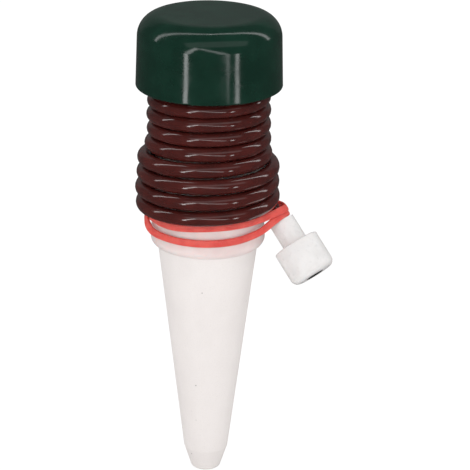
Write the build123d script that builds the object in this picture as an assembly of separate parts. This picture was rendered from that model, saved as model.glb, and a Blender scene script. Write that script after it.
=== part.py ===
"""A self watering spike: a hollow ceramic cone under a moulded collar with a screw cap.

The cone stands in the soil up to the collar's flange. A thin hose starts on a spigot of the
collar, is wound round the collar under the cap, and ends in a weighted inlet. A rubber band,
wound twice, holds the last turn of the hose. Millimetres, +Z up, the spike's axis on Z, the
soil line (the flange's underside) at Z = 0, and the hose's end on the +X side.
"""

import os
from math import acos, atan2, ceil, cos, degrees, pi, radians, sin, sqrt, tan

from build123d import *

# Ceramic cone, open at the top and closed at the tip
cone_neck_radius = 13.2      # the part glued into the collar
cone_neck_height = 8.0       # how far the neck reaches above the soil line
cone_rebate = 0.7            # how far the cone's body stands out past its neck
cone_length = 69.2           # from the soil line to the tip
cone_half_angle = 7.0        # taper of the body, in degrees
cone_nose_length = 6.8       # the steeper end of the cone
cone_nose_inset = 2.2        # how far the nose draws in from the body to the tip
cone_tip_rounding = 1.1
cone_wall = 3.0
cone_tip_thickness = 4.0
cone_mouth_rounding = 0.5

# Collar: socket, flange, spool for the hose and threaded neck, moulded in one piece
socket_clearance = 0.1       # round the cone's neck, for the glue
flange_wall = 2.7            # from the socket to the flange's outside
flange_rounding = 2.2
flange_height = 8.0          # the flange tapers into the lower spool over this height
lower_spool_wall = 2.2       # from the socket to the lower spool's outside
ledge_width = 1.9            # the inner ledge that the seal ring sits under
spool_wall = 1.6             # wall of the narrower upper spool
mouth_lip = 2.3              # how far the neck draws in from the collar's bore
neck_wall = 1.5
neck_length = 6.9            # threaded neck above the spool
neck_rounding = 0.3

# Seal ring between the cone's rim and the collar's ledge
seal_thickness = 0.7
seal_play = 0.05

# Hose and its winding
hose_diameter = 4.0
hose_bore = 2.4
hose_turn_gap = 0.45         # between turns of the winding
winding_clearance = 0.1      # between the hose and the spool
winding_turns = 9.75
wide_turns = 3.5             # turns on the lower, wider spool
step_in_turns = 0.5          # turns over which the hose steps in to the upper spool
winding_start_height = 10.05  # centre of the hose where its lowest turn begins
winding_start_angle = 15.0   # its place round the axis, in degrees from +X towards +Y
tail_run = 0.4               # straight run between the winding and the bend
tail_bend_radius = 8.0

# Spigot that the hose is pushed on, and the boss that carries it
spigot_length = 3.2
spigot_clearance = 0.05
passage_diameter = 1.2
boss_length = 4.6
boss_wall = 0.35             # how far the boss stands out past the hose's outside

# Rubber band, one loop wound twice round the collar and the hose's lowest turn
band_width = 1.9
band_thickness = 1.0
band_clearance = 0.12
band_upper_right = 0.55      # centre of its upper round over the start of the lowest turn, at +X
band_upper_back = -1.45      # the same at +Y
band_upper_left = -2.95      # the same at -X
band_upper_front = -0.3      # the same at -Y
band_lower_right = -1.45     # the lower round at the same four places
band_lower_back = -3.55
band_lower_left = -5.75
band_lower_front = -4.25
band_touchdown_turn = 183.0  # degrees up the winding where the band comes onto the collar
band_upper_droop = 0.7       # how far the upper round droops between the bend and the front
band_lower_droop = 1.4       # the same for the lower round
band_droop_angle = -50.0     # where it droops most
band_droop_half_width = 38.0
band_peak_run = 1.7          # from the inlet's stem up the hose to the middle of the band on it
band_peak_slack = 0.6        # how far it stands off the hose's bend there
band_peak_half_width = 24.0  # the angle over which its tilt and lift die out, in degrees
band_crossing_angle = 90.0   # where the two rounds change places
band_crossing_half_width = 38.0
band_steps_per_turn = 90

# Cap with a threaded sleeve inside
cap_height = 19.9
cap_wall = 1.5
cap_roof = 1.6
cap_skirt_gap = 1.5          # between the wound hose and the skirt
cap_draft = 0.6              # how much narrower the skirt is at the top than at the rim
cap_edge_radius = 6.2
cap_rim_rounding = 0.4
sleeve_clearance = 0.08      # on the neck
sleeve_wall = 1.5
sleeve_gap = 0.3             # between the sleeve's end and the spool
cap_rib_count = 8
cap_rib_thickness = 1.2
cap_rib_height = 4.5

# Gasket in the cap's roof
gasket_thickness = 1.1
gasket_play = 0.05
gasket_width = 1.5

# Weighted inlet on the hose's end
inlet_heading = -38.0        # direction of the inlet seen from above, in degrees from +X
inlet_dip = 48.0             # its slope below the horizon, in degrees
inlet_stem_length = 7.2
inlet_stem_wall = 1.55
inlet_socket_depth = 6.0
inlet_socket_clearance = 0.05
inlet_body_length = 10.3
inlet_body_wall = 2.2
inlet_edge_rounding = 2.0
inlet_shoulder_rounding = 0.5
inlet_shoulder_wall = 1.6
weight_radius = 4.3
weight_clearance = 0.08
inlet_mouth_radius = 2.6
end_disc_thickness = 1.5

# Sizes that follow from the ones above
hose_radius = hose_diameter / 2
hose_pitch = hose_diameter + hose_turn_gap
cone_radius = cone_neck_radius + cone_rebate
socket_radius = cone_neck_radius + socket_clearance
flange_radius = socket_radius + flange_wall
lower_spool_radius = socket_radius + lower_spool_wall
bore_radius = cone_neck_radius - ledge_width
spool_radius = bore_radius + spool_wall
mouth_radius = bore_radius - mouth_lip
neck_radius = mouth_radius + neck_wall
ledge_height = cone_neck_height + seal_thickness + 2 * seal_play
wide_winding_radius = lower_spool_radius + winding_clearance + hose_radius
winding_radius = spool_radius + winding_clearance + hose_radius
winding_outer_radius = winding_radius + hose_radius
winding_top = winding_start_height + hose_pitch * winding_turns
spool_step_height = winding_start_height + hose_pitch * wide_turns - hose_radius - winding_clearance
spool_top = winding_top + hose_radius + winding_clearance
neck_top = spool_top + neck_length
cap_ceiling = neck_top + gasket_thickness + 2 * gasket_play
cap_top = cap_ceiling + cap_roof
cap_rim = cap_top - cap_height
cap_radius = winding_outer_radius + cap_skirt_gap + cap_wall
band_touchdown_angle = winding_start_angle + band_touchdown_turn
band_upper_rises = (band_upper_right, band_upper_back, band_upper_left, band_upper_front)
band_lower_rises = (band_lower_right, band_lower_back, band_lower_left, band_lower_front)
sleeve_bore_radius = neck_radius + sleeve_clearance
sleeve_radius = sleeve_bore_radius + sleeve_wall
inlet_socket_radius = hose_radius + inlet_socket_clearance
inlet_stem_radius = inlet_socket_radius + inlet_stem_wall
inlet_chamber_radius = weight_radius + weight_clearance
inlet_body_radius = inlet_chamber_radius + inlet_body_wall
inlet_length = inlet_stem_length + inlet_body_length


def turned(*corners):
    """Solid of revolution about Z of a closed outline, given as (radius, height) corners."""
    return revolve(Plane.XZ * make_face(Polyline(*corners, close=True)), axis=Axis.Z)


def ring(outer_radius, inner_radius, bottom, top):
    """Plain ring about Z between two heights."""
    return turned(
        (inner_radius, bottom),
        (outer_radius, bottom),
        (outer_radius, top),
        (inner_radius, top),
    )


def circles_at(solid, height, radius):
    """Circular edges of a turned solid at one height and radius."""
    near = 0.01
    return [
        edge
        for edge in solid.edges().filter_by(GeomType.CIRCLE)
        if abs(edge.center().Z - height) < near and abs(edge.radius - radius) < near
    ]


def cone_outer_radius(height):
    """Radius of the cone's tapered body at a height below the soil line."""
    return cone_radius + height * tan(radians(cone_half_angle))


def make_ceramic_cone():
    """Thin-walled cone with a rebated neck, hollow down to the thick tip."""
    shoulder = -socket_clearance
    nose_height = cone_nose_length - cone_length
    nose_radius = cone_outer_radius(nose_height)
    tip_radius = nose_radius - cone_nose_inset
    cavity_bottom = cone_tip_thickness - cone_length
    outside = turned(
        (0, -cone_length),
        (tip_radius, -cone_length),
        (nose_radius, nose_height),
        (cone_outer_radius(shoulder), shoulder),
        (cone_neck_radius, shoulder),
        (cone_neck_radius, cone_neck_height),
        (0, cone_neck_height),
    )
    outside = fillet(circles_at(outside, -cone_length, tip_radius), cone_tip_rounding)
    outside = fillet(
        circles_at(outside, cone_neck_height, cone_neck_radius), cone_mouth_rounding
    )
    cavity_end_radius = nose_radius - cone_wall
    cavity_mouth_radius = cone_neck_radius - cone_wall
    cavity = turned(
        (0, cavity_bottom),
        (cavity_end_radius, cavity_bottom),
        (cavity_end_radius, nose_height),
        (cavity_mouth_radius, 0),
        (cavity_mouth_radius, cone_neck_height),
        (0, cone_neck_height),
    )
    return outside - cavity


def winding_point(turn):
    """Centre of the hose a number of turns above the start of its lowest turn."""
    stepped = min(max((turn - wide_turns) / step_in_turns, 0), 1)
    narrowing = (1 - cos(pi * stepped)) / 2
    radius = wide_winding_radius + (winding_radius - wide_winding_radius) * narrowing
    angle = radians(winding_start_angle) + 2 * pi * turn
    return Vector(
        radius * cos(angle), radius * sin(angle), winding_start_height + hose_pitch * turn
    )


def winding_direction(turn):
    """Unit direction of the hose there, pointing up the winding."""
    nudge = 1e-5
    return (winding_point(turn + nudge) - winding_point(turn - nudge)).normalized()


def biarc(start, start_direction, end, end_direction):
    """Two tangent arcs that join two points with given directions."""
    span = end - start
    both = start_direction + end_direction
    spread = 2 * (1 - start_direction.dot(end_direction))
    along = span.dot(both)
    reach = (sqrt(along**2 + spread * span.dot(span)) - along) / spread
    middle = (start + end + (start_direction - end_direction) * reach) * 0.5
    first = Edge.make_tangent_arc(start, start_direction, middle)
    return [first, Edge.make_tangent_arc(middle, first.tangent_at(1), end)]


inlet_direction = Vector(
    cos(radians(inlet_dip)) * cos(radians(inlet_heading)),
    cos(radians(inlet_dip)) * sin(radians(inlet_heading)),
    -sin(radians(inlet_dip)),
)


def hose_route():
    """Edges of the hose's centre line, from the spigot down to its end in the inlet."""
    top = winding_point(winding_turns)
    spigot_face = top + winding_direction(winding_turns) * hose_diameter
    edges = [Edge.make_line(spigot_face, top)]
    quarters = ceil(winding_turns * 4)
    turns = [winding_turns * (quarters - k) / quarters for k in range(quarters + 1)]
    for high, low in zip(turns, turns[1:]):
        edges += biarc(
            winding_point(high),
            -winding_direction(high),
            winding_point(low),
            -winding_direction(low),
        )
    leaving = -winding_direction(0)
    bend_start = winding_point(0) + leaving * tail_run
    bend_angle = radians(leaving.get_angle(inlet_direction))
    corner = bend_start + leaving * (tail_bend_radius * tan(bend_angle / 2))
    bend_end = corner + inlet_direction * (tail_bend_radius * tan(bend_angle / 2))
    edges.append(Edge.make_line(winding_point(0), bend_start))
    edges.append(Edge.make_tangent_arc(bend_start, leaving, bend_end))
    edges.append(Edge.make_line(bend_end, bend_end + inlet_direction * inlet_socket_depth))
    return edges


route = hose_route()
hose_bend = route[-2]
spigot_plane = Plane(origin=route[0].start_point(), z_dir=route[0].tangent_at(0))
inlet_plane = Plane(origin=route[-1].start_point(), z_dir=inlet_direction)


def make_hose():
    """The whole hose as one bored tube."""
    section = spigot_plane * (Circle(hose_radius) - Circle(hose_bore / 2))
    return sweep(section, path=Wire(route))


def report_hose(hose):
    """Print the hose's length, tightest bend, volume ratio and least gap to itself."""
    spacing = 2.0
    length = sum(edge.length for edge in route)
    tightest = min(edge.radius for edge in route if edge.geom_type == GeomType.CIRCLE)
    section_area = pi * (hose_radius**2 - (hose_bore / 2) ** 2)
    points = []
    for edge in route:
        count = max(1, round(edge.length / spacing))
        points += [edge.position_at(k / count) for k in range(count)]
    apart = ceil(pi * winding_radius / spacing)
    nearest = min(
        (points[j] - points[i]).length
        for i in range(len(points))
        for j in range(i + apart, len(points))
    )
    print("hose length", round(length, 1), "tightest bend radius", round(tightest, 2))
    print("hose volume over section times length", round(hose.volume / section_area / length, 4))
    print("hose least gap to itself", round(nearest - hose_diameter, 3))


def make_spigot():
    """Boss on the spool with a hollow spigot in line with the hose's start."""
    boss_outer_radius = winding_outer_radius + boss_wall
    block = spigot_plane * Box(
        2 * boss_outer_radius,
        2 * boss_outer_radius,
        boss_length,
        align=(Align.CENTER, Align.CENTER, Align.MAX),
    )
    start = spigot_plane.origin
    outward = Vector(start.X, start.Y, 0).normalized()
    band = ring(
        boss_outer_radius,
        bore_radius,
        winding_top - hose_radius + winding_clearance,
        spool_top,
    )
    side = Plane(origin=Vector(0, 0, start.Z), z_dir=outward) * Box(
        2 * boss_outer_radius,
        2 * boss_outer_radius,
        boss_outer_radius,
        align=(Align.CENTER, Align.CENTER, Align.MIN),
    )
    tube_radius = hose_bore / 2 - spigot_clearance
    tube = spigot_plane * Cylinder(
        tube_radius, spigot_length, align=(Align.CENTER, Align.CENTER, Align.MIN)
    )
    return (block & band & side) + tube


def make_passage():
    """Drilled way for the water, from the collar's bore through the boss and spigot."""
    depth = boss_length / 2
    drill_radius = passage_diameter / 2
    along = spigot_plane * Cylinder(
        drill_radius, 2 * (spigot_length + depth), align=(Align.CENTER, Align.CENTER, Align.CENTER)
    )
    along -= spigot_plane.offset(-depth - drill_radius) * Box(
        hose_diameter,
        hose_diameter,
        2 * spigot_length,
        align=(Align.CENTER, Align.CENTER, Align.MAX),
    )
    meeting = spigot_plane.origin - spigot_plane.z_dir * depth
    inward = Vector(-meeting.X, -meeting.Y, 0)
    across = Plane(origin=meeting, z_dir=inward) * Cylinder(
        drill_radius, inward.length, align=(Align.CENTER, Align.CENTER, Align.MIN)
    )
    return along + across


def make_collar():
    """Flange with the cone's socket, stepped spool and threaded neck, bored right through."""
    outside = turned(
        (0, 0),
        (flange_radius, 0),
        (lower_spool_radius, flange_height),
        (lower_spool_radius, spool_step_height),
        (spool_radius, spool_step_height),
        (spool_radius, spool_top),
        (neck_radius, spool_top),
        (neck_radius, neck_top),
        (0, neck_top),
    )
    outside = fillet(circles_at(outside, 0, flange_radius), flange_rounding)
    outside = fillet(circles_at(outside, neck_top, neck_radius), neck_rounding)
    outside += make_spigot()
    neck_floor = spool_top - spool_wall
    inside = turned(
        (0, 0),
        (socket_radius, 0),
        (socket_radius, ledge_height),
        (bore_radius, ledge_height),
        (bore_radius, neck_floor - mouth_lip),
        (mouth_radius, neck_floor),
        (mouth_radius, neck_top),
        (0, neck_top),
    )
    return outside - inside - make_passage()


def make_seal_ring():
    """Flat ring between the cone's rim and the collar's ledge."""
    return ring(
        cone_neck_radius - cone_mouth_rounding,
        bore_radius,
        cone_neck_height + seal_play,
        ledge_height - seal_play,
    )


def swell(distance, half_width):
    """Smooth bump: 1 at its middle and 0 from the half width outwards."""
    return (1 + cos(pi * min(abs(distance) / half_width, 1))) / 2


def turn_away(angle, place):
    """Angle from a place on the circle, in degrees from -180 to 180."""
    half = 180
    return (degrees(angle) - place + half) % (2 * half) - half


def flange_taper_radius(height):
    """Radius of the collar under the band at a height."""
    share = min(max(height / flange_height, 0), 1)
    return flange_radius + (lower_spool_radius - flange_radius) * share


def band_height(rises, angle):
    """Height of one round of the band, smooth through its four rises."""
    right, back, left, front = rises
    mean = winding_start_height + (right + back + left + front) / 4
    sideways = (right - left) / 2 * cos(angle)
    lengthways = (back - front) / 2 * sin(angle)
    saddle = (right + left - back - front) / 4 * cos(2 * angle)
    return mean + sideways + lengthways + saddle


def band_peak(run):
    """Where the inside of a round passes over the hose's bend, a run up from the stem.

    Gives the angle round the axis, the radius, the height, and the tilt that lays it flat.
    """
    share = 1 - run / hose_bend.length
    crossed = hose_bend.position_at(share)
    direction = hose_bend.tangent_at(share)
    outward = Vector(crossed.X, crossed.Y, 0).normalized()
    tilt = atan2(direction.dot(outward), -direction.Z)
    off = hose_radius + band_clearance + band_peak_slack
    radius = crossed.dot(outward) + off * cos(tilt)
    return atan2(outward.Y, outward.X), radius, crossed.Z + off * sin(tilt), tilt


def band_inner_radius(height, angle, peak_angle, peak_radius):
    """Inside of a round, taut in plan about the collar, the lowest turn and the bend.

    Between two rounded things it runs straight. A straight line that touches a circle of
    radius r is r / cos(a) from the centre at an angle a from where it touches.
    """
    on_collar = flange_taper_radius(height - band_width / 2) + band_clearance
    on_winding = wide_winding_radius + hose_radius + band_clearance
    past_peak = radians(turn_away(angle, degrees(peak_angle)))
    to_touchdown = radians(-turn_away(angle, band_touchdown_angle))
    touches_collar = acos(on_collar / peak_radius)
    touches_winding = acos(on_winding / peak_radius)
    leaves_winding = acos(on_collar / on_winding)
    if -touches_collar < past_peak <= 0:
        return on_collar / cos(past_peak + touches_collar)
    if 0 < past_peak < touches_winding:
        return on_winding / cos(touches_winding - past_peak)
    if 0 < to_touchdown < leaves_winding:
        return on_collar / cos(to_touchdown)
    return on_winding if 0 < past_peak and 0 < to_touchdown else on_collar


def band_line(rises, droop, run, angle):
    """Inner radius, height and tilt of one round of the band at an angle."""
    peak_angle, peak_radius, peak_height, peak_tilt = band_peak(run)
    near = swell(turn_away(angle, degrees(peak_angle)), band_peak_half_width)
    lift = peak_height - band_height(rises, peak_angle)
    drooped = droop * swell(turn_away(angle, band_droop_angle), band_droop_half_width)
    height = band_height(rises, angle) + lift * near - drooped
    inner = band_inner_radius(height, angle, peak_angle, peak_radius)
    return Vector(inner, height, peak_tilt * near)


def band_section(turn):
    """Rectangle across the band, some turns along its loop from the crossing at the back."""
    angle = radians(band_crossing_angle) + 2 * pi * turn
    off_crossing = turn_away(angle, band_crossing_angle)
    settled = sin(pi / 2 * min(abs(off_crossing) / band_crossing_half_width, 1))
    share = (1 + settled) / 2 if turn % 2 < 1 else (1 - settled) / 2
    half_step = (band_width + band_clearance) / 2
    upper_run = band_peak_run + half_step
    lower_run = band_peak_run - half_step
    upper = band_line(band_upper_rises, band_upper_droop, upper_run, angle)
    lower = band_line(band_lower_rises, band_lower_droop, lower_run, angle)
    inner, middle, tilt = lower + (upper - lower) * share
    if round(turn) % 2 == 0:
        inner += (band_thickness + band_clearance) * swell(off_crossing, band_crossing_half_width)
    half = band_width / 2
    corners = []
    for out, rise in ((0, -half), (band_thickness, -half), (band_thickness, half), (0, half)):
        radius = inner + out * cos(tilt) - rise * sin(tilt)
        height = middle + out * sin(tilt) + rise * cos(tilt)
        corners.append(Vector(radius * cos(angle), radius * sin(angle), height))
    return Wire.make_polygon(corners, close=True)


def make_rubber_band():
    """One closed loop that goes round twice, its two rounds crossing at the back."""
    steps = band_steps_per_turn
    rounds = [
        Solid.make_loft([band_section(whole + k / steps) for k in range(steps + 1)], ruled=True)
        for whole in range(2)
    ]
    return rounds[0].fuse(rounds[1])


def make_cap():
    """Thin shell with a rounded edge, a sleeve for the neck and ribs between the two."""
    shell = Pos(0, 0, cap_rim) * Cone(
        cap_radius,
        cap_radius - cap_draft,
        cap_height,
        align=(Align.CENTER, Align.CENTER, Align.MIN),
    )
    shell = fillet(circles_at(shell, cap_top, cap_radius - cap_draft), cap_edge_radius)
    shell = fillet(circles_at(shell, cap_rim, cap_radius), cap_rim_rounding)
    hollow_height = cap_ceiling - cap_rim
    hollow_draft = cap_draft * hollow_height / cap_height
    hollow_radius = cap_radius - cap_wall
    hollow = Pos(0, 0, cap_rim) * Cone(
        hollow_radius,
        hollow_radius - hollow_draft,
        hollow_height,
        align=(Align.CENTER, Align.CENTER, Align.MIN),
    )
    hollow = fillet(
        circles_at(hollow, cap_ceiling, hollow_radius - hollow_draft), cap_edge_radius - cap_wall
    )
    shell -= hollow
    shell += ring(sleeve_radius, sleeve_bore_radius, spool_top + sleeve_gap, cap_ceiling)
    rib = Pos(0, 0, cap_ceiling) * Box(
        hollow_radius,
        cap_rib_thickness,
        cap_rib_height,
        align=(Align.MIN, Align.CENTER, Align.MAX),
    )
    rib = (rib & hollow) - Pos(0, 0, cap_rim) * Cylinder(
        (sleeve_radius + sleeve_bore_radius) / 2,
        cap_height,
        align=(Align.CENTER, Align.CENTER, Align.MIN),
    )
    for k in range(cap_rib_count):
        shell += Rot(0, 0, 360 * k / cap_rib_count) * rib
    return shell


def make_cap_gasket():
    """Flat ring in the cap's roof that closes the neck."""
    return ring(
        neck_radius - gasket_play,
        neck_radius - gasket_play - gasket_width,
        neck_top + gasket_play,
        cap_ceiling - gasket_play,
    )


def make_inlet_housing():
    """Stem for the hose's end and a rounded body with a chamber, open at its foot."""
    shape = turned(
        (0, 0),
        (inlet_stem_radius, 0),
        (inlet_stem_radius, inlet_stem_length),
        (inlet_body_radius, inlet_stem_length),
        (inlet_body_radius, inlet_length),
        (0, inlet_length),
    )
    shape = fillet(circles_at(shape, inlet_length, inlet_body_radius), inlet_edge_rounding)
    shape = fillet(
        circles_at(shape, inlet_stem_length, inlet_body_radius), inlet_shoulder_rounding
    )
    chamber_top = inlet_stem_length + inlet_shoulder_wall
    inside = turned(
        (0, 0),
        (inlet_socket_radius, 0),
        (inlet_socket_radius, inlet_socket_depth),
        (hose_bore / 2, inlet_socket_depth),
        (hose_bore / 2, chamber_top),
        (inlet_chamber_radius, chamber_top),
        (inlet_chamber_radius, inlet_length),
        (0, inlet_length),
    )
    return inlet_plane * (shape - inside)


def make_inlet_weight():
    """Metal ring in the inlet's chamber."""
    top = inlet_stem_length + inlet_shoulder_wall
    bottom = inlet_length - end_disc_thickness
    return inlet_plane * ring(weight_radius, inlet_mouth_radius, top, bottom)


def make_inlet_end_disc():
    """Disc with the mouth, pressed in flush with the inlet's foot."""
    top = inlet_length - end_disc_thickness
    return inlet_plane * ring(weight_radius, inlet_mouth_radius, top, inlet_length)


hose = make_hose()
report_hose(hose)

pieces = {
    "ceramic_cone": make_ceramic_cone(),
    "collar": make_collar(),
    "seal_ring": make_seal_ring(),
    "hose": hose,
    "rubber_band": make_rubber_band(),
    "cap": make_cap(),
    "cap_gasket": make_cap_gasket(),
    "inlet_housing": make_inlet_housing(),
    "inlet_weight": make_inlet_weight(),
    "inlet_end_disc": make_inlet_end_disc(),
}

os.makedirs("parts", exist_ok=True)
for name, piece in pieces.items():
    export_step(piece, f"parts/{name}.step")
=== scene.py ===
"""Dresses the self watering spike: its wound hose, rubber band, materials, light and camera.

Sizes that describe the object are written in millimetres, as in the part's own source, and
turned into the frame's metres where they are used.
"""

from math import cos, pi, radians, sin

import bmesh
import bpy
from mathutils import Matrix, Vector


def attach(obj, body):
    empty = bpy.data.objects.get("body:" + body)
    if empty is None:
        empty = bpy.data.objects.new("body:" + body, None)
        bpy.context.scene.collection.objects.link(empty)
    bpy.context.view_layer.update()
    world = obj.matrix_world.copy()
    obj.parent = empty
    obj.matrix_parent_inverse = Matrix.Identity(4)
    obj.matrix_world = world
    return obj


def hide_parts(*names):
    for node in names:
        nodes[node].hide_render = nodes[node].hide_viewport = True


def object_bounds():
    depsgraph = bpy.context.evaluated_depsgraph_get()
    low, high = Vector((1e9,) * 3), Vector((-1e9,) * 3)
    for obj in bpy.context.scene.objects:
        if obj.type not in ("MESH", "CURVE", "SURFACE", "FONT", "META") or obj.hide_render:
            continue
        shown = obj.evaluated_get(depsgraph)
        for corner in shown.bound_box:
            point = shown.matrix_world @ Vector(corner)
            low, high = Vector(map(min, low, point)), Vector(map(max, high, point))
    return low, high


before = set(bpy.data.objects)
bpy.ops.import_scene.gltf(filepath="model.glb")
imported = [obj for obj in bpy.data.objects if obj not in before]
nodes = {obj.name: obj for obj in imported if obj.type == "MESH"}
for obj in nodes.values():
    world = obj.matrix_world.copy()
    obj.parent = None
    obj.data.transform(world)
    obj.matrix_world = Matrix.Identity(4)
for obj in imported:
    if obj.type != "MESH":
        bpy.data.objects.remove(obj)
cad_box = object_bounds()

MM = 0.001

# Camera, placed as the photograph was taken
IMAGE_WIDTH = 470                 # pixels
FOCAL_LENGTH = 2074.0             # pixels
SENSOR_WIDTH = 36.0               # millimetres, which Blender's lens is given in too
CAMERA_PLACE = (0.0, -539.8, 205.7)
CAMERA_YAW = 0.804                # degrees towards +X
CAMERA_PITCH = 20.68              # degrees down
CAMERA_ROLL = 0.841               # degrees
CAMERA_NEAR = 10.0                # nothing nearer to the camera is drawn

# Light and floor. The lamps themselves are in make_light, in metres and watts.
LAMP_TARGET = (0, 0, 0.055)       # metres: the middle of the cap
SURROUND_SEEN = 1.0               # brightness all round, as the camera sees it
SURROUND_GLOSSY = 0.07            # the same in reflections, and the floor's there too
SURROUND_LIT = 0.59               # the same as a light on the object
FLOOR_SIZE = 6000.0
FLOOR_DROP = 0.2                  # from the tip down to the floor
FLOOR_GREY = 0.8
FLOOR_WHITE = 1.1                 # its own brightness to the camera
FLOOR_SHADED = 0.12               # share of its look that takes shadows

# Winding of the hose, counted in turns up from its lower end
TURN_STEPS = 24                   # control points in a turn
HOSE_RADIUS = 1.96
HOSE_CURVE_STEPS = 6              # straight pieces between two control points
HOSE_BEVEL_RESOLUTION = 8         # gives the hose 20 sides
LOWER_SWELL = 0.06                # share by which the lower turns are thicker
LOWER_TURNS = 4.6                 # turns up to where that fades, over one more turn
SPLINE_RADIUS_GAIN = 1.0086       # control points lie outside the round that they draw
WINDING_START_ANGLE = 15.0        # degrees from +X towards +Y
WINDING_TURNS = 9.75
START_HEIGHT = 10.05              # middle of the hose at the winding's lower end
FRONT_TURN = 0.708                # where the winding first passes the front, at -Y
FRONT_HEIGHTS = (13.1, 17.6, 22.05, 26.3, 30.4, 34.5, 38.6, 42.4, 46.5, 51.6, 56.8)
SIDE_TURN = -0.042                # +X on that count of turns, and then a side each half turn
SIDE_RADII = (
    17.6, 17.9, 17.7, 18.1, 17.5, 17.7, 17.5, 17.5, 15.4, 15.5, 15.1,
    15.0, 15.05, 15.1, 15.0, 14.9, 14.9, 14.95, 15.0, 15.0, 15.0, 15.0,
)
LEAN_BACK = 0.6                   # how far a turn leans down at its sides, and half of the back's
LEAN_RIGHT = 0.3                  # how far it leans down at +X besides, and up at -X
LEAN_TURNS = 4.0                  # turns over which the lean grows

# The hose's tail, from the winding down into the inlet, and its start on the spigot
TAIL = ((17.65, 1.85, 9.90), (19.25, -0.90, 8.05), (21.66, -2.62, 4.97), (23.56, -4.10, 2.30))
SPIGOT_FACE = (7.74, -13.45, 53.63)

# The inlet, as in the part: middle of its stem's open end, the way it points, and its mouth
INLET_START = (20.42, -1.65, 6.72)
INLET_AXIS = (0.527, -0.412, -0.743)
INLET_MOUTH_RADIUS = 2.6
BORE_SHADE_MARGIN = 0.02               # the painted shade in the bore reaches this far past its wall
BORE_SHADE_BLEND = 0.1                 # and fades over this width

# Rubber band, clockwise from above: degrees from +X towards +Y, its middle's distance from the
# axis, its height, and the degrees by which it leans in at the top
BAND_FIRST_ROUND = (
    (350, 21.3, 11.1, 38), (340, 19.1, 10.7, 26), (330, 17.5, 10.1, 14), (319, 16.5, 9.9, 4),
    (308, 16.3, 9.9, 2), (292, 16.25, 9.9, 0), (274, 16.25, 9.85, 0), (258, 16.25, 9.6, 0),
    (244, 16.25, 9.2, 0), (230, 16.25, 8.9, 0), (216, 16.3, 8.95, 0), (204, 16.45, 9.2, 0),
    (195, 16.45, 8.9, 0), (187, 16.4, 8.2, 0), (179, 16.4, 7.3, 0), (170, 16.4, 6.6, 0),
    (158, 16.4, 6.1, 0), (144, 16.4, 5.9, 0), (128, 16.4, 5.6, 0), (110, 16.4, 5.5, 0),
    (92, 16.4, 5.45, 0), (76, 16.4, 5.5, 0), (63, 16.5, 5.3, 0), (51, 17.1, 5.3, 0),
    (40, 18.2, 5.5, 0), (29, 19.5, 6.0, 0), (19, 20.9, 6.9, 6), (10, 21.8, 7.9, 22),
    (2, 22.1, 8.8, 38),
)
BAND_SECOND_ROUND = (
    (354, 21.8, 9.45, 42), (348, 20.85, 9.62, 42), (342, 19.4, 8.7, 30), (336, 18.3, 7.6, 18),
    (330, 17.5, 6.7, 10), (323, 16.9, 6.15, 6), (314, 16.5, 5.95, 2), (304, 16.45, 5.6, 2),
    (288, 16.4, 5.4, 0), (270, 16.4, 5.3, 0), (252, 16.4, 5.25, 0), (236, 16.5, 5.3, 0),
    (221, 16.6, 5.35, 0), (210, 16.9, 5.45, 10), (202, 17.15, 5.9, 26), (196, 17.3, 6.9, 30),
    (190, 17.35, 8.0, 8), (182, 17.2, 8.8, 0), (172, 16.8, 9.0, 0), (160, 16.5, 8.8, 0),
    (146, 16.3, 8.4, 0), (130, 16.3, 8.1, 0), (112, 16.3, 7.8, 0), (94, 16.3, 7.6, 0),
    (77, 16.3, 7.5, 0), (64, 16.8, 7.25, 0), (53, 17.7, 7.2, -4), (43, 19.0, 7.4, -8),
    (34, 20.1, 7.85, -8), (25, 20.8, 8.4, 0), (16, 21.1, 9.0, 10), (7, 21.4, 9.8, 24),
    (358, 21.8, 10.5, 36),
)
BAND_WIDTH = 2.05
BAND_THICKNESS = 0.9
BAND_SQUARENESS = 3.2             # 2 would make its section an ellipse
BAND_SECTION_POINTS = 20          # round its section
BAND_STEPS = 6                    # rings from one of the points above to the next


# --- Helpers for shapes ---------------------------------------------------------------------

def metres(point):
    """A place given in millimetres, in metres."""
    return Vector(point) * MM


def between(values, place):
    """Value at a place along a list, straight between its entries."""
    index = min(max(int(place), 0), len(values) - 2)
    share = place - index
    return values[index] + (values[index + 1] - values[index]) * share


def smooth_between(values, place):
    """Value at a place along a list, easing from one entry to the next."""
    index = min(max(int(place), 0), len(values) - 2)
    eased = (1 - cos(pi * min(max(place - index, 0), 1))) / 2
    return values[index] + (values[index + 1] - values[index]) * eased


def closed_spline(points, steps):
    """Places along the smooth closed curve that a ring of control points draws."""
    places = []
    count = len(points)
    for index in range(count):
        before, here, after, later = (points[(index + k) % count] for k in range(-1, 3))
        for step in range(steps):
            t = step / steps
            places.append(
                before * ((1 - t) ** 3 / 6)
                + here * ((3 * t**3 - 6 * t**2 + 4) / 6)
                + after * ((-3 * t**3 + 3 * t**2 + 3 * t + 1) / 6)
                + later * (t**3 / 6)
            )
    return places


def add_object(name, data):
    """A new object in the scene."""
    piece = bpy.data.objects.new(name, data)
    bpy.context.scene.collection.objects.link(piece)
    return piece


# --- Helpers for materials ------------------------------------------------------------------

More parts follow.
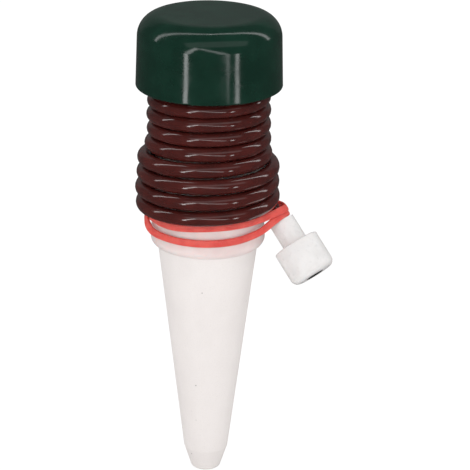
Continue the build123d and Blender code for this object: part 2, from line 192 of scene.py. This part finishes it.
class Shader:
    """A new material with its principled shader and a few ways to add nodes to it."""

    def __init__(self, name):
        self.material = bpy.data.materials.new(name)
        self.material.use_nodes = True
        self.nodes = self.material.node_tree.nodes
        self.links = self.material.node_tree.links
        self.surface = self.nodes["Principled BSDF"]

    def set(self, **values):
        """Set sockets of the shader by name, with underscores for spaces."""
        for name, value in values.items():
            self.surface.inputs[name.replace("_", " ")].default_value = value

    def join(self, source, target):
        """Link one node's output to another's input."""
        self.links.new(source, target)

    def vector(self, operation, first, second=None):
        """Outputs of a vector maths node on an output and, if given, a fixed vector."""
        step = self.nodes.new("ShaderNodeVectorMath")
        step.operation = operation
        self.join(first, step.inputs[0])
        if second is not None:
            step.inputs[1].default_value = second
        return step.outputs

    def place(self, scale=(1, 1, 1)):
        """Position on the object, in metres, times a scale."""
        coordinates = self.nodes.new("ShaderNodeTexCoord")
        mapping = self.nodes.new("ShaderNodeMapping")
        mapping.inputs["Scale"].default_value = scale
        self.join(coordinates.outputs["Object"], mapping.inputs["Vector"])
        return mapping.outputs["Vector"]

    def noise(self, size, detail=2.0, roughness=0.5, scale=(1, 1, 1)):
        """Noise from 0 to 1 whose blotches are about one size across, in millimetres."""
        noise = self.nodes.new("ShaderNodeTexNoise")
        noise.inputs["Scale"].default_value = 1 / (size * MM)
        noise.inputs["Detail"].default_value = detail
        noise.inputs["Roughness"].default_value = roughness
        self.join(self.place(scale), noise.inputs["Vector"])
        return noise.outputs["Fac"]

    def spots(self, size):
        """Distance from the nearest of many scattered points, in cells of one size."""
        cells = self.nodes.new("ShaderNodeTexVoronoi")
        cells.inputs["Scale"].default_value = 1 / (size * MM)
        self.join(self.place(), cells.inputs["Vector"])
        return cells.outputs["Distance"]

    def range(self, value, low, high, to_low=0.0, to_high=1.0):
        """Stretch a value's range to another one, and keep it inside."""
        stretch = self.nodes.new("ShaderNodeMapRange")
        stretch.interpolation_type = "SMOOTHSTEP"
        stretch.inputs["From Min"].default_value = low
        stretch.inputs["From Max"].default_value = high
        stretch.inputs["To Min"].default_value = to_low
        stretch.inputs["To Max"].default_value = to_high
        self.join(value, stretch.inputs["Value"])
        return stretch.outputs["Result"]

    def mix(self, factor, first, second):
        """Mix two colours, each a value or another node's output."""
        mix = self.nodes.new("ShaderNodeMix")
        mix.data_type = "RGBA"
        self.join(factor, mix.inputs["Factor"])
        for socket, colour in ((mix.inputs["A"], first), (mix.inputs["B"], second)):
            if isinstance(colour, tuple):
                socket.default_value = (*colour, 1)
            else:
                self.join(colour, socket)
        return mix.outputs["Result"]

    def colour(self, colour):
        """Give the surface a colour from a node's output."""
        self.join(colour, self.surface.inputs["Base Color"])

    def rough(self, value):
        """Give the surface a roughness from a node's output."""
        self.join(value, self.surface.inputs["Roughness"])

    def bump(self, height, depth, after=None):
        """Raise the surface by up to a depth, in millimetres, over an earlier bump if given."""
        bump = self.nodes.new("ShaderNodeBump")
        bump.inputs["Distance"].default_value = depth * MM
        self.join(height, bump.inputs["Height"])
        if after is not None:
            self.join(after, bump.inputs["Normal"])
        self.join(bump.outputs["Normal"], self.surface.inputs["Normal"])
        return bump.outputs["Normal"]


def dress(material, *pieces):
    """Give pieces one material."""
    for piece in pieces:
        piece.data.materials.clear()
        piece.data.materials.append(material)


# --- Materials ------------------------------------------------------------------------------

def ceramic():
    """Matt, porous fired clay with soft mottling, fine grain and a few grey specks."""
    shader = Shader("porous_ceramic")
    mottle = shader.range(shader.noise(9, detail=4, scale=(1, 1, 0.6)), 0.35, 0.68)
    pale = shader.mix(mottle, (0.90, 0.85, 0.83), (0.87, 0.82, 0.80))
    grain = shader.range(shader.noise(0.3, detail=3), 0.5, 0.9)
    grained = shader.mix(grain, pale, (0.82, 0.765, 0.74))
    specks = shader.range(shader.spots(5.5), 0.02, 0.05, 1.0, 0.0)
    shader.colour(shader.mix(specks, grained, (0.45, 0.42, 0.40)))
    shader.rough(shader.range(grain, 0.0, 1.0, 0.72, 0.9))
    pores = shader.bump(shader.noise(0.5, detail=5, roughness=0.65), 0.02)
    shader.bump(shader.noise(3.5, detail=2), 0.05, after=pores)
    shader.set(Specular_IOR_Level=0.25)
    return shader.material


def collar_plastic():
    """Milky moulded plastic that light soaks into, tinted pink: partly its own tint, partly
    painted red glow from the band.
    """
    shader = Shader("milky_plastic")
    cloud = shader.range(shader.noise(6, detail=3), 0.35, 0.7)
    # partly painted light: both pinks hold red glow bounced from the band, the deeper one more,
    # spread in random clouds
    shader.colour(shader.mix(cloud, (0.90, 0.765, 0.745), (0.85, 0.70, 0.685)))
    shader.rough(shader.range(shader.noise(1.2, detail=2), 0.3, 0.7, 0.28, 0.4))
    shader.bump(shader.noise(2.2, detail=2), 0.03)
    shader.set(
        Subsurface_Weight=0.6, Subsurface_Radius=(1.0, 0.55, 0.5), Subsurface_Scale=2.5 * MM
    )
    return shader.material


def cap_plastic():
    """Glossy dark green moulding, faintly uneven, with fine scuffs."""
    shader = Shader("cap_plastic")
    depth = shader.range(shader.noise(7, detail=3), 0.35, 0.7)
    green = shader.mix(depth, (0.0040, 0.0225, 0.0140), (0.0062, 0.0300, 0.0190))
    dust = shader.range(shader.noise(0.45, detail=4, roughness=0.7), 0.66, 0.8, 0.0, 0.25)
    shader.colour(shader.mix(dust, green, (0.06, 0.09, 0.075)))
    shader.rough(shader.range(shader.noise(2.5, detail=4), 0.3, 0.75, 0.10, 0.17))
    ripple = shader.bump(shader.noise(9, detail=1), 0.06)
    shader.bump(shader.noise(0.6, detail=2), 0.004, after=ripple)
    return shader.material


def hose_vinyl():
    """Glossy maroon vinyl tube, slightly cloudy, with drag marks from its making."""
    shader = Shader("hose_vinyl")
    cloud = shader.range(shader.noise(5, detail=3, scale=(1, 1, 1.6)), 0.35, 0.7)
    maroon = shader.mix(cloud, (0.076, 0.0122, 0.0100), (0.056, 0.0090, 0.0075))
    haze = shader.range(shader.noise(0.7, detail=4, roughness=0.7), 0.58, 0.8, 0.0, 0.3)
    shader.colour(shader.mix(haze, maroon, (0.17, 0.06, 0.05)))
    shader.rough(shader.range(shader.noise(1.6, detail=3), 0.3, 0.75, 0.09, 0.17))
    lines = shader.bump(shader.noise(0.5, detail=2, scale=(0.35, 0.35, 2.2)), 0.006)
    shader.bump(shader.noise(4, detail=2), 0.05, after=lines)
    shader.set(
        IOR=1.6,
        Coat_Weight=0.5,
        Coat_Roughness=0.06,
        Subsurface_Weight=0.05,
        Subsurface_Radius=(1.0, 0.25, 0.2),
        Subsurface_Scale=1.2 * MM,
    )
    return shader.material


def band_rubber():
    """Translucent red rubber, paler where it is stretched thin."""
    shader = Shader("band_rubber")
    cloud = shader.range(shader.noise(3, detail=3), 0.35, 0.7)
    red = shader.mix(cloud, (0.86, 0.135, 0.11), (0.76, 0.095, 0.08))
    bloom = shader.range(shader.noise(0.5, detail=3), 0.55, 0.8, 0.0, 0.35)
    shader.colour(shader.mix(bloom, red, (0.90, 0.27, 0.23)))
    shader.rough(shader.range(shader.noise(0.9, detail=2), 0.3, 0.7, 0.38, 0.55))
    shader.bump(shader.noise(0.45, detail=3), 0.02)
    shader.set(
        Subsurface_Weight=0.7, Subsurface_Radius=(1.0, 0.25, 0.2), Subsurface_Scale=1.2 * MM
    )
    return shader.material


def satin(shader):
    """Give a shader the inlet's satin gloss and faint waves."""
    shader.rough(shader.range(shader.noise(0.8, detail=3), 0.3, 0.7, 0.26, 0.38))
    shader.bump(shader.noise(1.5, detail=2), 0.015)


def inlet_plastic():
    """Satin white moulding."""
    shader = Shader("inlet_plastic")
    cloud = shader.range(shader.noise(4, detail=3), 0.35, 0.7)
    shader.colour(shader.mix(cloud, (0.88, 0.86, 0.85), (0.83, 0.81, 0.80)))
    satin(shader)
    shader.set(
        Subsurface_Weight=0.35, Subsurface_Radius=(1.0, 0.9, 0.85), Subsurface_Scale=1.0 * MM
    )
    return shader.material


def inlet_disc_plastic():
    """The same satin white, with painted shade that darkens the bore leading into the inlet."""
    shader = Shader("inlet_disc_plastic")
    offset = shader.vector("SUBTRACT", shader.place(), metres(INLET_START))
    crossed = shader.vector("CROSS_PRODUCT", offset[0], Vector(INLET_AXIS).normalized())
    from_axis = shader.vector("LENGTH", crossed[0])["Value"]
    painted_shade_edge = (INLET_MOUTH_RADIUS + BORE_SHADE_MARGIN) * MM
    bore_painted_shade = shader.range(from_axis, painted_shade_edge, painted_shade_edge + BORE_SHADE_BLEND * MM, 1.0, 0.0)
    # painted shade: the bore's wall is coloured near black, as the inside of the mouth would look
    # unlit
    shader.colour(shader.mix(bore_painted_shade, (0.86, 0.84, 0.83), (0.012, 0.012, 0.012)))
    satin(shader)
    return shader.material


def seal_rubber():
    """Matt black rubber, a little dusty."""
    shader = Shader("seal_rubber")
    dust = shader.range(shader.noise(0.8, detail=4), 0.45, 0.8)
    shader.colour(shader.mix(dust, (0.018, 0.018, 0.018), (0.05, 0.05, 0.048)))
    shader.rough(shader.range(dust, 0.0, 1.0, 0.6, 0.85))
    shader.bump(shader.noise(0.4, detail=3), 0.01)
    return shader.material


def weight_steel():
    """Turned steel with fine tool marks."""
    shader = Shader("weight_steel")
    marks = shader.noise(0.25, detail=3, scale=(1, 1, 4))
    shader.colour(shader.mix(marks, (0.42, 0.42, 0.43), (0.56, 0.56, 0.57)))
    shader.rough(shader.range(marks, 0.3, 0.7, 0.25, 0.4))
    shader.bump(marks, 0.005)
    shader.set(Metallic=1.0)
    return shader.material


# --- The hose -------------------------------------------------------------------------------

def hose_swell(turn):
    """The hose's thickness a number of turns up, as a share of its tail's and upper turns'."""
    if turn == 0:
        return 1
    return 1 + LOWER_SWELL * smooth_between((1, 0), turn - LOWER_TURNS)


def winding_point(turn):
    """Middle of the hose a number of turns up the winding, in millimetres."""
    radius = smooth_between(SIDE_RADII, (turn - SIDE_TURN) * 2)
    angle = radians(WINDING_START_ANGLE) + 2 * pi * turn
    if turn < FRONT_TURN:
        height = START_HEIGHT + (FRONT_HEIGHTS[0] - START_HEIGHT) * turn / FRONT_TURN
    else:
        height = between(FRONT_HEIGHTS, turn - FRONT_TURN)
    grown = min(turn / LEAN_TURNS, 1)
    height -= grown * (LEAN_BACK * (1 + sin(angle)) + LEAN_RIGHT * cos(angle))
    radius *= SPLINE_RADIUS_GAIN
    return Vector((radius * cos(angle), radius * sin(angle), height))


def make_hose(material):
    """The whole hose as one smooth tube, from its spigot down to its end in the inlet."""
    steps = round(WINDING_TURNS * TURN_STEPS)
    turns = [WINDING_TURNS * (steps - k) / steps for k in range(steps + 1)]
    route = [(SPIGOT_FACE, 1)]
    route += [(winding_point(turn), hose_swell(turn)) for turn in turns]
    route += [(point, 1) for point in TAIL]
    curve = bpy.data.curves.new("wound_hose", "CURVE")
    curve.dimensions = "3D"
    curve.resolution_u = HOSE_CURVE_STEPS
    curve.bevel_depth = HOSE_RADIUS * MM
    curve.bevel_resolution = HOSE_BEVEL_RESOLUTION
    curve.use_fill_caps = True
    spline = curve.splines.new("NURBS")
    spline.points.add(len(route) - 1)
    for point, (place, swell) in zip(spline.points, route):
        point.co = (*metres(place), 1)
        point.radius = swell
    spline.order_u = 3
    spline.use_endpoint_u = True
    hose = add_object("wound_hose", curve)
    dress(material, hose)
    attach(hose, "spike")
    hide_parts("hose")


# --- The rubber band ------------------------------------------------------------------------

def band_section(place, ahead, lean):
    """Ring of points across the band at a place on its middle, with a lean in radians."""
    along = (ahead - place).normalized()
    outward = along.cross(Vector((0, 0, 1))).normalized()
    if outward.dot(Vector((place.x, place.y, 0))) < 0:
        outward.negate()
    upward = along.cross(outward).normalized()
    if upward.z < 0:
        upward.negate()
    outward, upward = (
        outward * cos(lean) + upward * sin(lean),
        upward * cos(lean) - outward * sin(lean),
    )
    ring = []
    for k in range(BAND_SECTION_POINTS):
        turn = 2 * pi * k / BAND_SECTION_POINTS
        across, up = cos(turn), sin(turn)
        spread = abs(across) ** BAND_SQUARENESS + abs(up) ** BAND_SQUARENESS
        reach = (1 / spread) ** (1 / BAND_SQUARENESS)
        ring.append(
            place
            + outward * (across * reach * BAND_THICKNESS / 2)
            + upward * (up * reach * BAND_WIDTH / 2)
        )
    return ring


def make_band(material):
    """One closed red loop that goes round twice, crossing itself at the left."""
    control = [
        Vector((radius * cos(radians(angle)), radius * sin(radians(angle)), height, lean))
        for angle, radius, height, lean in BAND_FIRST_ROUND + BAND_SECOND_ROUND
    ]
    middle = closed_spline(control, BAND_STEPS)
    mesh = bmesh.new()
    rings = []
    for here, following in zip(middle, middle[1:] + middle[:1]):
        section = band_section(here.xyz, following.xyz, radians(here.w))
        rings.append([mesh.verts.new(point * MM) for point in section])
    for ring, following in zip(rings, rings[1:] + rings[:1]):
        for k in range(BAND_SECTION_POINTS):
            after = (k + 1) % BAND_SECTION_POINTS
            mesh.faces.new((ring[k], ring[after], following[after], following[k]))
    bmesh.ops.recalc_face_normals(mesh, faces=mesh.faces)
    for face in mesh.faces:
        face.smooth = True
    data = bpy.data.meshes.new("stretched_band")
    mesh.to_mesh(data)
    mesh.free()
    band = add_object("stretched_band", data)
    dress(material, band)
    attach(band, "spike")
    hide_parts("rubber_band")


# --- Camera, light and floor ----------------------------------------------------------------

def make_camera():
    """Camera at the photograph's place and angle."""
    data = bpy.data.cameras.new("camera")
    data.sensor_width = SENSOR_WIDTH
    data.lens = FOCAL_LENGTH / IMAGE_WIDTH * SENSOR_WIDTH
    data.clip_start = CAMERA_NEAR * MM
    camera = add_object("camera", data)
    camera.matrix_world = (
        Matrix.Translation(metres(CAMERA_PLACE))
        @ Matrix.Rotation(-radians(CAMERA_YAW), 4, "Z")
        @ Matrix.Rotation(pi / 2 - radians(CAMERA_PITCH), 4, "X")
        @ Matrix.Rotation(radians(CAMERA_ROLL), 4, "Z")
    )
    bpy.context.scene.camera = camera


def make_lamp(name, place, size, power, gloss=True, roll=0):
    """Rectangular lamp that faces the object. Sizes in metres, power in watts, roll in degrees."""
    data = bpy.data.lights.new(name, "AREA")
    data.shape = "RECTANGLE"
    data.size, data.size_y = size
    data.energy = power
    lamp = add_object(name, data)
    turn = (Vector(LAMP_TARGET) - Vector(place)).to_track_quat("-Z", "Y")
    lamp.matrix_world = (
        Matrix.Translation(place)
        @ turn.to_matrix().to_4x4()
        @ Matrix.Rotation(radians(roll), 4, "Z")
    )
    lamp.visible_camera = False
    lamp.visible_glossy = gloss


def make_light():
    """Lamps that the cap mirrors as in the photograph, and soft ones that it doesn't mirror."""
    make_lamp("leg_left", (-0.200, -0.280, -0.026), (0.038, 0.080), 0.056)
    make_lamp("rise_left", (-0.150, -0.305, 0.085), (0.165, 0.045), 0.095, roll=60)
    make_lamp("slope_right", (0.045, -0.330, 0.066), (0.33, 0.040), 0.100, roll=-31)
    make_lamp("leg_right", (0.232, -0.252, -0.032), (0.036, 0.070), 0.038)
    make_lamp("glow", (0.060, -0.270, 0.260), (0.70, 0.16), 0.15)
    make_lamp("bow_left", (-0.32, 0.02, 0.435), (0.055, 0.86), 0.50)
    make_lamp("bow_right", (0.31, 0.09, 0.435), (0.055, 0.86), 0.50)
    make_lamp("back_card", (0.0, 0.9, 0.35), (1.6, 0.7), 0.2)
    make_lamp("front", (0.2, -0.72, 0.45), (0.9, 0.35), 0.70, gloss=False)
    make_lamp("rear", (-0.1, 0.75, 0.45), (0.9, 0.35), 0.6, gloss=False)
    make_lamp("overhead", (0.0, 0.0, 0.75), (0.7, 0.7), 0.9, gloss=False)


def pale_surround(tree, seen, glossy, lit):
    """One shader to the camera, one in reflections, and otherwise what lights the object."""
    path = tree.nodes.new("ShaderNodeLightPath")
    reflected = tree.nodes.new("ShaderNodeMath")
    reflected.operation = "MAXIMUM"
    tree.links.new(path.outputs["Is Glossy Ray"], reflected.inputs[0])
    tree.links.new(path.outputs["Is Transmission Ray"], reflected.inputs[1])
    first = tree.nodes.new("ShaderNodeMixShader")
    tree.links.new(reflected.outputs[0], first.inputs["Fac"])
    tree.links.new(lit, first.inputs[1])
    tree.links.new(glossy, first.inputs[2])
    second = tree.nodes.new("ShaderNodeMixShader")
    tree.links.new(path.outputs["Is Camera Ray"], second.inputs["Fac"])
    tree.links.new(first.outputs[0], second.inputs[1])
    tree.links.new(seen, second.inputs[2])
    return second.outputs[0]


def make_world():
    """Even grey light all round, white to the camera."""
    world = bpy.data.worlds.new("studio")
    bpy.context.scene.world = world
    world.use_nodes = True
    tree = world.node_tree
    strengths = {"seen": SURROUND_SEEN, "glossy": SURROUND_GLOSSY, "lit": SURROUND_LIT}
    glows = {}
    for name, strength in strengths.items():
        glow = tree.nodes.new("ShaderNodeBackground")
        glow.inputs["Color"].default_value = (1, 1, 1, 1)
        glow.inputs["Strength"].default_value = strength
        glows[name] = glow.outputs[0]
    output = tree.nodes["World Output"]
    tree.links.new(pale_surround(tree, **glows), output.inputs["Surface"])


def make_floor():
    """Wide white floor under the tip, which keeps the object's shadow and is clear from below."""
    mesh = bmesh.new()
    bmesh.ops.create_grid(mesh, x_segments=1, y_segments=1, size=FLOOR_SIZE * MM / 2)
    data = bpy.data.meshes.new("floor")
    mesh.to_mesh(data)
    mesh.free()
    floor = add_object("floor", data)
    floor.location.z = cad_box[0][2] - FLOOR_DROP * MM
    material = bpy.data.materials.new("floor")
    material.use_nodes = True
    tree = material.node_tree
    tree.nodes.remove(tree.nodes["Principled BSDF"])
    lit = tree.nodes.new("ShaderNodeBsdfDiffuse")
    lit.inputs["Color"].default_value = (FLOOR_GREY, FLOOR_GREY, FLOOR_GREY, 1)
    white = tree.nodes.new("ShaderNodeEmission")
    white.inputs["Strength"].default_value = FLOOR_WHITE
    seen = tree.nodes.new("ShaderNodeMixShader")
    seen.inputs["Fac"].default_value = FLOOR_SHADED
    tree.links.new(white.outputs[0], seen.inputs[1])
    tree.links.new(lit.outputs[0], seen.inputs[2])
    dim = tree.nodes.new("ShaderNodeEmission")
    dim.inputs["Strength"].default_value = SURROUND_GLOSSY
    surface = pale_surround(tree, seen.outputs[0], dim.outputs[0], lit.outputs[0])
    side = tree.nodes.new("ShaderNodeNewGeometry")
    clear = tree.nodes.new("ShaderNodeBsdfTransparent")
    shown = tree.nodes.new("ShaderNodeMixShader")
    tree.links.new(side.outputs["Backfacing"], shown.inputs["Fac"])
    tree.links.new(surface, shown.inputs[1])
    tree.links.new(clear.outputs[0], shown.inputs[2])
    tree.links.new(shown.outputs[0], tree.nodes["Material Output"].inputs["Surface"])
    floor.data.materials.append(material)


make_camera()
make_world()
make_light()
make_floor()

dress(ceramic(), nodes["ceramic_cone"])
dress(collar_plastic(), nodes["collar"])
dress(cap_plastic(), nodes["cap"])
dress(inlet_plastic(), nodes["inlet_housing"])
dress(inlet_disc_plastic(), nodes["inlet_end_disc"])
dress(seal_rubber(), nodes["seal_ring"], nodes["cap_gasket"])
dress(weight_steel(), nodes["inlet_weight"])
make_hose(hose_vinyl())
make_band(band_rubber())

bpy.context.scene.view_settings.view_transform = "Standard"
